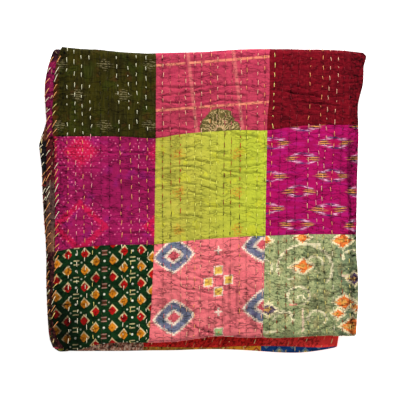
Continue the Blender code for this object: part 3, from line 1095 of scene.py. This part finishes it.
class Fabric:
    """A cotton of one patch: its base dye, what is printed or woven on it, and its weave."""

    def __init__(self, name, base):
        self.material, self.tree, self.shader = new_material("cotton_" + name)
        self.colour = linear(base)
        flat = new_node(self.tree, "UVMap", {}, uv_map="FlatCloth")
        parts = new_node(self.tree, "SeparateXYZ", {0: flat.outputs[0]})
        self.x = Field(self.tree, parts.outputs[0]) / MM
        self.y = Field(self.tree, parts.outputs[1]) / MM

    def noise(self, wide, high, seed=0.0, detail=2.0):
        """Soft noise from 0 to 1 with spots of the given size in millimetres."""
        place = new_node(self.tree, "CombineXYZ", {0: self.x / wide, 1: self.y / high, 2: seed})
        inputs = {"Scale": 1.0, "Detail": detail, "Vector": place.outputs[0]}
        return Field(self.tree, new_node(self.tree, "TexNoise", inputs).outputs[0])

    def value(self, name):
        """A number stored on the points of the cloth."""
        node = new_node(self.tree, "Attribute", {}, attribute_name=name)
        return Field(self.tree, node.outputs["Fac"])

    def lay(self, colour, mask):
        """Another dye where the mask is 1."""
        inputs = {"Factor": mask, 6: self.colour, 7: linear(colour)}
        self.colour = new_node(self.tree, "Mix", inputs, data_type="RGBA").outputs[2]

    def wash(self, colour, amount, size, seed, limit, soft, detail=2.0, over=False):
        """Blotches of another dye where a noise is under the limit, or where 1 less the noise is."""
        level = self.noise(*size, seed, detail)
        self.lay(colour, (1 - level if over else level).inside(limit, soft) * amount)

    def shade(self, amount):
        """Multiplies the colour by a field."""
        inputs = {0: self.colour, "Scale": amount}
        self.colour = new_node(self.tree, "VectorMath", inputs, operation="SCALE").outputs[0]

    def finish(self, wear=0.22, wrinkle=1.0, roughness=0.85, depth=0.34):
        """The weave, wear and fine wrinkles that all the cottons have, and painted shade in the hollows,
        crease lines and stitch channels, with painted shadows at the puckers.
        """
        self.shade((1 - wear / 2) + self.noise(38, 26, 3.0) * wear)
        self.shade(0.79 + self.noise(2.2, 5.0, 8.0, 1.0) * 0.42)
        # Painted shade: the cloth darker where its relief lies under its plain place, by depth for each
        # millimetre.
        self.shade(1 - self.value("hollow").least(1.8) * depth)
        # Painted shade: thin dark crease lines and a darker channel along each row of stitches, and painted
        # shadows of the puckers beside the stitches; the crease lines and channels also go into the bump.
        level = abs(self.noise(26, 9.5, 7.0, 2.5) - 0.5).inside(0.026, 0.022)
        crease = level * self.noise(34, 17, 9.0).inside(0.53, 0.05)
        near_row = abs(self.value("row").cell(1.0))
        pucker_shadow = near_row.inside(0.05, 0.035) * self.noise(5, 6.5, 12.0).inside(0.47, 0.04)
        self.shade(1 - crease * (0.42 * wrinkle) - near_row.inside(0.06, 0.06) * 0.10 - pucker_shadow * 0.44)
        self.painted_stitches()
        thread = abs(self.x.cell(0.9)) * 1.1 + abs(self.y.cell(0.9)) * 1.1
        fine = self.noise(6.5, 2.6, 5.0, 2.0)
        broad = self.noise(13, 6.5, 6.0, 1.0)
        height = thread * 0.10 + fine * (0.7 * wrinkle) + broad * (1.1 * wrinkle)
        height = height - crease * (0.8 * wrinkle) - near_row.inside(0.08, 0.08) * 0.35
        bump = new_node(self.tree, "Bump", {"Strength": 0.75, "Distance": MM, "Height": height})
        look = {"Normal": bump.outputs[0], "Base Color": self.colour}
        feed(self.tree, self.shader, {**look, "Roughness": roughness, "Specular IOR Level": 0.06})
        return self.material

    def painted_stitches(self):
        """Flat stitches where the cloth lies on the surface or on another layer."""
        row = self.x.number(PAINTED_PITCH)
        dash = abs(self.x.cell(PAINTED_PITCH)).inside(0.7, 0.4)
        dash = dash * abs((self.y + row * 6.3).cell(20.0)).inside(4.6, 0.5) * self.value("inked")
        dash = dash * self.noise(21, 21, 30.0, 1.0).inside(0.52, 0.03)
        every_third = (row / 3).math("FLOORED_MODULO", 1.0).inside(0.5, 0.01)
        self.lay((238, 212, 150), dash * (1 - every_third * 0.7))


def olive():
    cloth = Fabric("olive", (52, 47, 4))
    cloth.wash((26, 27, 2), 0.6, (5, 60), 1.0, 0.46, 0.08, 3.0)
    cloth.wash((30, 24, 6), 0.45, (32, 62), 9.0, 0.47, 0.07)
    cloth.wash((50, 62, 10), 0.4, (34, 40), 4.0, 0.40, 0.07)
    cloth.wash((72, 44, 14), 0.5, (20, 26), 6.0, 0.35, 0.05)
    cloth.wash((70, 66, 30), 0.4, (3.4, 22), 5.0, 0.40, 0.05, 2.0, over=True)
    cloth.lay((92, 46, 12), cloth.x.inside(-290, 5) * cloth.noise(30, 26, 11.0).inside(0.56, 0.06) * 0.8)
    row = (cloth.y - 148).number(63.0)
    across = (cloth.x + 196 + row.odd() * 54).cell(92.0)
    along = (cloth.y - 148 + across * 0.1).cell(63.0)
    ragged = (cloth.noise(6, 3, 14.0) - 0.5) * 30
    dashes = abs((along + cloth.noise(14, 9, 3.0) * 7).cell(4.6)).inside(1.0, 0.7)
    dashes = dashes * (1 - cloth.noise(5, 2, 2.0).inside(0.48, 0.04))
    cluster = (abs(across + ragged) * 0.75 + abs(along)).inside(13, 3)
    cloth.lay((150, 138, 100), cluster * dashes * 0.65)
    return cloth.finish(wear=0.4, roughness=0.8)


def pink():
    cloth = Fabric("pink", (188, 60, 84))
    cloth.wash((164, 38, 72), 0.45, (30, 30), 2.0, 0.46, 0.12)
    cloth.wash((206, 74, 98), 0.4, (12, 5), 6.0, 0.42, 0.06, over=True)
    down = abs((cloth.x + cloth.y * 0.11 - 6).cell(93.0))
    over = abs((cloth.y - cloth.x * 0.08).cell(93.0))
    cloth.lay((214, 112, 108), down.inside(3.4, 1.8) * (0.45 + cloth.noise(3, 4, 9.0) * 0.5))
    cloth.lay((238, 142, 112), over.inside(2.5, 1.3) * cloth.noise(17, 60, 11.0).inside(0.60, 0.06) * 0.85)
    ragged = (cloth.noise(14, 14, 12.0) - 0.5) * 18
    wide, high = cloth.x - 37.5 + ragged * 0.3, cloth.y - 134 + ragged * 0.3
    radius = (wide.square() * 1.5 + high.square()).root()
    leaf = (radius + ragged).inside(49, 1.5)
    cloth.lay((104, 100, 50), leaf * 0.92)
    cloth.lay((66, 62, 34), leaf * cloth.noise(7, 5, 3.0).inside(0.42, 0.05) * 0.6)
    bend = (cloth.noise(12, 12, 8.0) - 0.5) * 0.9
    angle = wide.math("ARCTAN2", high) + bend
    rays = (abs(angle.cell(0.27)) * radius).inside(1.1, 0.8) * (radius + ragged).band(9, 46)
    cloth.lay((216, 184, 128), rays * 0.85)
    ring = abs((radius + ragged * 0.8).cell(13.0)).inside(1.1, 0.8) * radius.inside(30, 2)
    cloth.lay((216, 160, 124), ring * 0.6)
    return cloth.finish()


def maroon():
    cloth = Fabric("maroon", (116, 8, 24))
    cloth.wash((88, 4, 18), 0.6, (22, 14), 2.0, 0.47, 0.1)
    cloth.wash((148, 26, 38), 0.35, (9, 5), 6.0, 0.4, 0.06, over=True)
    cloth.wash((160, 42, 46), 0.25, (2.6, 12), 33.0, 0.40, 0.05, 1.0, over=True)
    cloth.wash((66, 4, 14), 0.4, (12, 3.4), 35.0, 0.40, 0.05, 1.0)
    return cloth.finish(wear=0.18)


def wine():
    cloth = Fabric("wine", (92, 40, 46))
    cloth.wash((44, 26, 22), 0.8, (6, 22), 2.0, 0.48, 0.1)
    cloth.wash((128, 74, 50), 0.5, (5, 9), 6.0, 0.4, 0.06, over=True)
    return cloth.finish(wear=0.25)


def magenta():
    cloth = Fabric("magenta", (162, 26, 86))
    cloth.wash((132, 18, 66), 0.5, (26, 20), 2.0, 0.47, 0.1)
    cloth.wash((148, 30, 112), 0.5, (30, 34), 7.0, 0.40, 0.07)
    grain = (cloth.noise(7, 7, 9.0) - 0.5) * 0.26
    wide, high = (cloth.x + 242).cell(184.0), (cloth.y + 56).cell(152.0)
    filled = (cloth.y + 56).number(152.0).odd()
    far = abs(wide) / 55 + abs(high) / 50 + grain
    cloth.lay((202, 24, 72), far.band(0.76, 1.08, 0.08) * (1 - filled * 0.85) * 0.85)
    cloth.lay((208, 28, 70), far.inside(0.66, 0.22) * filled * 0.85)
    second = abs(cloth.x + 86) / 30 + abs(cloth.y - 90) / 38 + grain
    cloth.lay((208, 30, 82), second.inside(0.8, 0.3) * 0.8)
    drift = (cloth.noise(20, 20, 13.0) - 0.5) * 5
    dot_x = (cloth.x + drift + cloth.y.number(6.6).odd() * 4.0).cell(8.0)
    dot_y = (cloth.y + drift).cell(6.6)
    dots = (dot_x.square() + dot_y.square()).root().inside(1.5, 0.9)
    dots = dots * cloth.noise(9, 9, 4.0).inside(0.66, 0.05)
    edges = far.band(0.66, 0.80, 0.04).most(far.band(1.04, 1.20, 0.04)).most(far.band(1.52, 1.66, 0.04))
    edges = edges.most(far.inside(0.2, 0.03)).most(far.inside(0.9, 0.04) * filled * 0.5)
    cloth.lay((246, 112, 158), dots * edges * cloth.noise(12, 12, 15.0).inside(0.56, 0.06) * 0.95)
    cloth.lay((186, 22, 42), cloth.x.inside(-291, 4) * 0.6)
    return cloth.finish()


def lime():
    cloth = Fabric("lime", (188, 180, 68))
    cloth.lay((186, 204, 46), cloth.x.band(50, 400, 110) * 0.7)
    cloth.wash((160, 166, 60), 0.3, (30, 16), 2.0, 0.46, 0.1)
    cloth.wash((208, 204, 44), 0.45, (22, 26), 7.0, 0.38, 0.05)
    ragged = (cloth.noise(9, 9, 3.0) - 0.5) * 22
    wide, high = (cloth.x + 45).cell(118.0) + ragged, (cloth.y - 14).cell(76.0) + ragged
    spot = (wide.square() + high.square()).root()
    cloth.lay((208, 136, 40), spot.inside(11, 4) * cloth.noise(5, 4, 5.0).inside(0.52, 0.05) * 0.6)
    return cloth.finish(wear=0.12, wrinkle=0.8, roughness=0.8, depth=0.27)


def ikat_motif(cloth, wide, high):
    """One feathered lozenge of an ikat: an outline with lobes to the left and right."""
    streak = (cloth.noise(60, 1.5, 4.0, 1.0) - 0.5) * 44
    lean = (cloth.noise(60, 40, 6.0, 0.0) - 0.5) * 10
    wide, high = abs(wide + streak), abs(high + lean)
    far = (wide / 38 + high / 16).most(high / 12.5)
    worn = cloth.noise(9, 2.4, 17.0).inside(0.54, 0.05)
    outline = far.band(0.72, 1.00, 0.08) * (0.35 + worn * 0.65)
    cloth.lay((248, 186, 216), outline * wide.band(9, 27, 3) * 0.92)
    cloth.lay((64, 48, 96), outline * wide.inside(10, 3) * 0.9)
    lobe = wide.band(14, 30, 2) * high.inside(5.2, 1.0)
    cloth.lay((34, 20, 44), lobe * 0.88)
    ends = wide.band(12, 31, 3) * high.band(1.0, 3.2, 0.7)
    cloth.lay((240, 158, 74), ends * (0.5 + cloth.noise(7, 3, 19.0) * 0.8).least(0.95))
    cloth.lay((178, 18, 66), wide.inside(9, 3) * high.inside(4.5, 1.5) * 0.7)


def ikat():
    cloth = Fabric("ikat", (174, 14, 90))
    cloth.wash((146, 8, 72), 0.5, (26, 20), 2.0, 0.46, 0.1)
    cloth.wash((180, 26, 118), 0.6, (30, 7), 8.0, 0.42, 0.06, over=True)
    drift = cloth.x - cloth.y * 0.095
    ikat_motif(cloth, (drift - 196.3).cell(125.0), (cloth.y - 81).cell(67.0))
    ikat_motif(cloth, (drift - 258.8).cell(125.0), (cloth.y - 113).cell(67.0))
    return cloth.finish()


def green():
    cloth = Fabric("green", (18, 56, 24))
    cloth.wash((10, 36, 16), 0.5, (20, 16), 2.0, 0.47, 0.1)
    across = cloth.x + 248.1
    line = across.number(56.0)
    beside, along = across.cell(56.0), cloth.y + 112 - across * 0.07
    wide, high = abs(beside), along + line.odd() * 16.5
    row, drop, half = high.number(33.0), high.cell(33.0), (high + 16.5).cell(33.0)
    outward = wide - 16.2
    far = abs(outward.least(0) * 1.3).most(outward) + abs(drop) * 0.9
    rim = 1 - (outward * 0.8 + drop).inside(-1, 1.5)
    cloth.lay((236, 206, 150), far.inside(12.0, 0.9) * rim * 0.95)
    round_far = far * 0.7 + (outward.square() + drop.square()).root() * 0.42
    cloth.lay((188, 22, 20), round_far.inside(9.2, 0.9))
    cloth.lay((216, 132, 26), round_far.inside(9.2, 0.9) * (row + line.odd()).odd())
    cloth.lay((120, 22, 18), (abs(outward) + abs(drop + 1)).inside(2.6, 1.0) * 0.55)
    centre = (wide.square() + drop.square()).root()
    cloth.lay((240, 236, 214), centre.inside(2.2, 0.7))
    bars = abs(abs(half) - 3.9).inside(1.1, 0.6) * wide.inside(5.5, 0.9)
    cloth.lay((226, 206, 150), bars * 0.9 * (1 - line.odd()))
    cloth.lay((186, 132, 116), bars * 0.9 * line.odd())
    cloth.lay((120, 40, 30), abs(half).inside(2.0, 0.8) * wide.inside(4.5, 0.9) * line.odd() * 0.6)
    dots = ((wide - 10.2).square() + half.square()).root().inside(1.7, 0.7)
    cloth.lay((222, 222, 190), dots * 0.9)
    # Painted shade: the front-left corner darker, where the cloth droops away from the light.
    corner_shade = ((cloth.x + 300).square() + (cloth.y + 285).square() * 0.7).root()
    cloth.shade(1 - (corner_shade + (cloth.noise(16, 16, 17.0) - 0.5) * 40).inside(80, 40) * 0.76)
    return cloth.finish(wear=0.2)


def coral():
    cloth = Fabric("coral", (242, 120, 124))
    cloth.wash((218, 86, 102), 0.35, (24, 18), 2.0, 0.46, 0.1)
    grain = (cloth.noise(5, 5, 9.0, 1.0) - 0.5) * 5
    across = cloth.x + 54.3 + grain
    along = cloth.y + 114.2 - (cloth.x + 54.3) * 0.124 + grain
    wide, high = abs(across.cell(177.0).stepped(3.4)), abs(along.cell(122.2).stepped(3.4))
    far = ((wide / 38.5).math("POWER", 1.2) + (high / 32.5).math("POWER", 1.2)).math("POWER", 0.833)
    slants = abs((across + along).cell(6.8)), abs((across - along).cell(6.8))
    chain = slants[0].inside(2.2, 0.9).most(slants[1].inside(2.2, 0.9))
    cream = (255, 232, 206)
    cloth.lay(cream, far.band(0.92, 1.09, 0.04) * (0.34 + chain * 0.66))
    cloth.lay((108, 122, 146), far.inside(0.95, 0.05) * 0.95)
    cloth.lay((108, 88, 132), far.inside(0.93, 0.05) * cloth.noise(9, 9, 3.0).inside(0.42, 0.05) * 0.6)
    cloth.lay((78, 104, 118), far.inside(0.93, 0.05) * cloth.noise(12, 8, 6.0).inside(0.42, 0.05) * 0.6)
    cloth.lay(cream, far.inside(0.50, 0.05) * (0.6 + chain * 0.35))
    cloth.lay((220, 92, 102), far.inside(0.33, 0.05))
    other_x, other_y = abs((across + 88.5).cell(177.0)), abs((along + 61.1).cell(122.2))
    petal = abs(other_x - 20).most(other_y).least(other_x.most(abs(other_y - 21)))
    cloth.lay(cream, petal.inside(9.4, 0.8) * 0.85)
    cloth.lay((240, 192, 84), petal.inside(7.0, 0.8))
    cloth.lay((170, 200, 132), petal.inside(7.0, 0.8) * cloth.y.inside(-235, 2))
    cloth.lay((206, 120, 60), petal.inside(1.8, 0.8) * 0.7)
    # Painted shade: a dark wine ring at a crease in the front part of the patch.
    crease_shade_spot = ((cloth.x - 10).square() * 0.4 + (cloth.y + 262).square()).root()
    cloth.lay((158, 46, 66), crease_shade_spot.inside(10, 5) * cloth.noise(5, 4, 31.0).inside(0.52, 0.06) * 0.7)
    cross = other_x.most(high * 4).least((other_x * 4).most(high))
    cloth.lay((248, 222, 200), cross.inside(8, 1.5) * 0.9)
    return cloth.finish(wear=0.12, wrinkle=1.25, depth=0.31)


def blossom(cloth, wide, high, size, colour):
    """A stepped blossom with a cream edge, its middle at the origin of wide and high."""
    far = abs(wide.stepped(3.2)) * 0.75 + abs(high.stepped(3.2))
    cloth.lay((252, 234, 184), far.inside(size + 5.5, 0.8) * 0.95)
    cloth.lay(colour, far.inside(size, 0.8))
    cloth.lay((238, 176, 84), (far + wide * 0.5).inside(size * 0.35, 0.8) * 0.8)


def tendril(cloth, wide, high, size, opening):
    """A stepped cream ring, broken here and there and open on its lower side."""
    wide, high = wide.stepped(2.8), high.stepped(2.8)
    radius = (wide.square() * 0.72 + high.square()).root()
    ring = abs(radius - size).inside(2.1, 0.7) * (0 - high - wide * 0.14).inside(opening, 1.0)
    cloth.lay((252, 238, 192), ring * cloth.noise(6, 6, 21.0).inside(0.62, 0.04) * 0.95)


def bar(cloth, wide, high, half_wide, half_high, colour):
    """A straight printed stroke, its middle at the origin of wide and high."""
    cloth.lay(colour, abs(wide).inside(half_wide, 1.0) * abs(high).inside(half_high, 0.8) * 0.92)


def sage():
    cloth = Fabric("sage", (180, 184, 128))
    cloth.wash((146, 160, 108), 0.6, (22, 18), 2.0, 0.46, 0.09)
    cloth.wash((108, 128, 92), 0.5, (8, 8), 5.0, 0.42, 0.06)
    cloth.wash((190, 168, 112), 0.5, (16, 26), 7.0, 0.40, 0.05)
    cloth.wash((84, 108, 66), 0.6, (3.2, 4.8), 33.0, 0.41, 0.05, 1.0)
    # Painted shade: darker green towards the right-hand fold, where the cloth turns down.
    right = (0 - cloth.x).inside(-268, 16)
    cloth.lay((104, 124, 96), right * cloth.noise(14, 14, 23.0).inside(0.56, 0.08) * 0.7)
    grain = (cloth.noise(9, 9, 9.0) - 0.5) * 9

    def around(x, y):
        return (cloth.x - x + grain).cell(230.0), (cloth.y - y + grain).cell(210.0)

    for x, y, size, opening in (
        (206, -138, 46, 22),
        (193, -194, 18, 16),
        (197, -199, 6, 2),
        (229, -238, 15, 8),
        (118, -138, 19, 10),
        (163, -240, 15, 4),
        (226, -130, 14, 0),
        (298, -118, 14, 6),
    ):
        tendril(cloth, *around(x, y), size, opening)
    cream, pale = (252, 238, 192), (240, 208, 176)
    bar(cloth, *around(217, -92), 22, 3.0, cream)
    bar(cloth, *around(135, -264), 15, 2.2, cream)
    bar(cloth, *around(178, -160), 7, 1.8, cream)
    bar(cloth, *around(201, -240), 2.0, 23, pale)
    bar(cloth, *around(287, -154), 9, 2.6, pale)
    bar(cloth, *around(182, -211), 8, 2.0, (238, 150, 130))
    for x, y, size in (
        (188, -137, 7),
        (203, -135, 13),
        (202, -78, 10),
        (282, -84, 14),
        (129, -84, 8),
        (284, -206, 14),
        (270, -229, 8),
        (306, -216, 8),
        (300, -254, 18),
    ):
        blossom(cloth, *around(x, y), size, (244, 126, 56))
    blossom(cloth, *around(133, -221), 12, (118, 100, 112))
    blossom(cloth, *around(304, -160), 11, (104, 78, 112))
    flecks = cloth.noise(4.2, 3.4, 25.0, 0.0).inside(0.27, 0.03)
    flecks = flecks * cloth.noise(30, 30, 27.0).inside(0.5, 0.05)
    cloth.lay((238, 214, 172), flecks * 0.8)
    return cloth.finish(wear=0.18, wrinkle=1.25, depth=0.33)


def red():
    cloth = Fabric("red", (255, 66, 62))
    cloth.wash((190, 28, 34), 0.2, (18, 12), 2.0, 0.47, 0.1)
    return cloth.finish(wear=0.1, wrinkle=0.5)


def crimson():
    cloth = Fabric("crimson", (232, 46, 42))
    cloth.wash((158, 30, 28), 0.4, (16, 8), 2.0, 0.47, 0.08)
    return cloth.finish(wear=0.25)


def small_print(name, base, motif, centre, shade, pitch):
    """A printed cotton with small lozenges on a half-drop grid."""
    cloth = Fabric(name, base)
    line = cloth.x.number(pitch)
    wide = abs(cloth.x.cell(pitch))
    high = abs((cloth.y + line * pitch / 2).cell(pitch))
    far = wide + high
    cloth.lay(motif, far.inside(pitch * 0.34, 1.0))
    cloth.lay(centre, far.inside(pitch * 0.16, 0.8))
    corner = abs((cloth.x + pitch / 2).cell(pitch)) + high
    cloth.lay(centre, corner.inside(pitch * 0.10, 0.8) * 0.9)
    cloth.lay(shade, cloth.x.inside(60, 30) * cloth.noise(14, 14, 6.0).inside(0.56, 0.05) * 0.8)
    return cloth.finish(wear=0.25)


def blue():
    return small_print("blue", (28, 74, 142), (118, 150, 172), (236, 214, 140), (20, 48, 104), 26.0)


def orange():
    return small_print("orange", (255, 164, 48), (208, 70, 40), (252, 224, 120), (176, 126, 46), 22.0)


def plum():
    cloth = Fabric("plum", (150, 28, 78))
    cloth.wash((104, 20, 64), 0.7, (16, 12), 2.0, 0.47, 0.1)
    cloth.wash((196, 60, 90), 0.5, (7, 7), 5.0, 0.38, 0.05, over=True)
    cloth.lay((36, 28, 30), (0 - cloth.y).inside(-282, 4) * 0.9)
    return cloth.finish(wear=0.25)


def feather():
    cloth = Fabric("feather", (172, 108, 84))
    cloth.wash((246, 206, 178), 0.9, (5, 9), 2.0, 0.48, 0.06, 3.0, over=True)
    cloth.wash((52, 32, 26), 0.8, (9, 9), 7.0, 0.43, 0.06, 2.0)
    cloth.wash((176, 52, 50), 0.7, (10, 10), 4.0, 0.38, 0.04, 2.0)
    return cloth.finish(wear=0.25)


def umber():
    cloth = Fabric("umber", (46, 32, 26))
    cloth.wash((92, 74, 60), 0.6, (12, 7), 2.0, 0.42, 0.05, 3.0, over=True)
    cloth.wash((120, 24, 26), 0.8, (7, 9), 4.0, 0.40, 0.03, 2.0)
    cloth.wash((150, 130, 30), 0.8, (6, 6), 8.0, 0.36, 0.03, 2.0)
    return cloth.finish(wear=0.25)


def satin():
    cloth = Fabric("satin", (188, 150, 132))
    cloth.wash((104, 72, 62), 0.6, (4, 26), 2.0, 0.46, 0.06)
    cloth.wash((196, 164, 150), 0.5, (3, 30), 9.0, 0.42, 0.05, over=True)
    cloth.lay((176, 44, 52), (0 - cloth.y).inside(-34, 8))
    # Painted shadow: dark wine along the strip's inner side, where the top layer's hem lies over it.
    cloth.lay((64, 26, 32), (0 - cloth.x).inside(299, 1.6) * 0.8)
    cloth.lay((150, 96, 70), cloth.y.inside(-62, 10) * 0.8)
    return cloth.finish(wear=0.25, roughness=0.6)


def black():
    cloth = Fabric("black", (26, 24, 26))
    cloth.wash((60, 56, 56), 0.5, (12, 7), 2.0, 0.40, 0.06, over=True)
    cloth.lay((108, 62, 42), cloth.y.inside(-735, 4) * 0.9)
    return cloth.finish(wear=0.2)


def thread_material(name, colour):
    """Twisted cotton thread: a fine slanting ply, in the colour of its dye."""
    material, tree, shader = new_material("thread_" + name)
    place = new_node(tree, "TexCoord", {}).outputs["Object"]
    inputs = {"Scale": 420.0, "Distortion": 1.5, "Vector": place}
    ply = new_node(tree, "TexWave", inputs, bands_direction="DIAGONAL").outputs["Fac"]
    tone = new_node(tree, "TexNoise", {"Scale": 70.0, "Vector": place}).outputs[0]
    # Partly painted shade: the thread darker in the grooves of its ply, and partly random tone.
    raised = Field(tree, ply) * 0.35 + Field(tree, tone) * 0.9
    dark = linear([value * 0.88 for value in colour])
    blend = new_node(tree, "Mix", {"Factor": raised, 6: dark, 7: linear(colour)}, data_type="RGBA")
    bump = new_node(tree, "Bump", {"Strength": 0.5, "Distance": 0.0003, "Height": ply})
    look = {"Base Color": blend.outputs[2], "Normal": bump.outputs[0]}
    feed(tree, shader, {**look, "Roughness": 0.7, "Specular IOR Level": 0.2})
    return material


# The studio


WHITE = (1.0, 1.0, 1.0, 1.0)
FLOOR_REACH = 30.0
FLOOR_DROP = 0.0004


def make_floor():
    ends = (-FLOOR_REACH, FLOOR_REACH)
    corners = [(x, y, 0) for y in ends for x in ends]
    material, _, shader = new_material("pale_floor")
    look = {"Base Color": (0.93, 0.93, 0.93, 1.0), "Roughness": 0.9, "Specular IOR Level": 0.1}
    feed(material.node_tree, shader, {**look, "Emission Color": WHITE, "Emission Strength": 0.7})
    floor = add_mesh("studio_floor", corners, [(0, 1, 3, 2)], [material], [0])
    floor.location.z = -FLOOR_DROP


def aim(piece, place, target):
    """Puts a light or a camera at a place, turned to the target."""
    piece.location = place
    piece.rotation_euler = (Vector(target) - Vector(place)).to_track_quat("-Z", "Y").to_euler()


LIT_PLACE = (0.0, 0.0, 0.02)
SKY_STRENGTH = 0.36


def area_light(name, place, size, power):
    lamp = bpy.data.lights.new(name, "AREA")
    lamp.size = size
    lamp.energy = power
    aim(add_object(name, lamp), place, LIT_PLACE)


def make_studio():
    make_floor()
    area_light("key", (0.45, 2.1, 1.75), 0.6, 84.0)
    area_light("fill", (-1.4, -0.9, 2.3), 1.6, 8.0)
    world = bpy.data.worlds.new("studio")
    world.use_nodes = True
    sky = {"Color": WHITE, "Strength": SKY_STRENGTH}
    feed(world.node_tree, world.node_tree.nodes["Background"], sky)
    bpy.context.scene.world = world
    bpy.context.scene.view_settings.view_transform = "Standard"


LENS = 85.5
SENSOR = 36.0
AIM = (-0.0023, -0.0030, 0.0275)
CAMERA_DISTANCE = 1.9
CAMERA_ELEVATION = math.radians(84)


def make_camera():
    lens = bpy.data.cameras.new("camera")
    lens.lens = LENS
    lens.sensor_width = SENSOR
    camera = add_object("camera", lens)
    way = Vector((0.0, -math.cos(CAMERA_ELEVATION), math.sin(CAMERA_ELEVATION)))
    aim(camera, Vector(AIM) + way * CAMERA_DISTANCE, AIM)
    bpy.context.scene.camera = camera


DYES = (olive, pink, maroon, wine, magenta, lime, ikat, green, coral, sage, red, crimson, blue)
DYES += (orange, plum, feather, umber, satin, black)

make_studio()
make_camera()

threads = {name: thread_material(name, colour) for name, colour in THREADS.items()}
cloth = build_cloth({dye.__name__: dye() for dye in DYES})
stitches = running_stitches(threads)
whips = hem_stitches(threads)

for piece in (cloth, stitches, whips):
    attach(piece, "root")
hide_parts("throw")
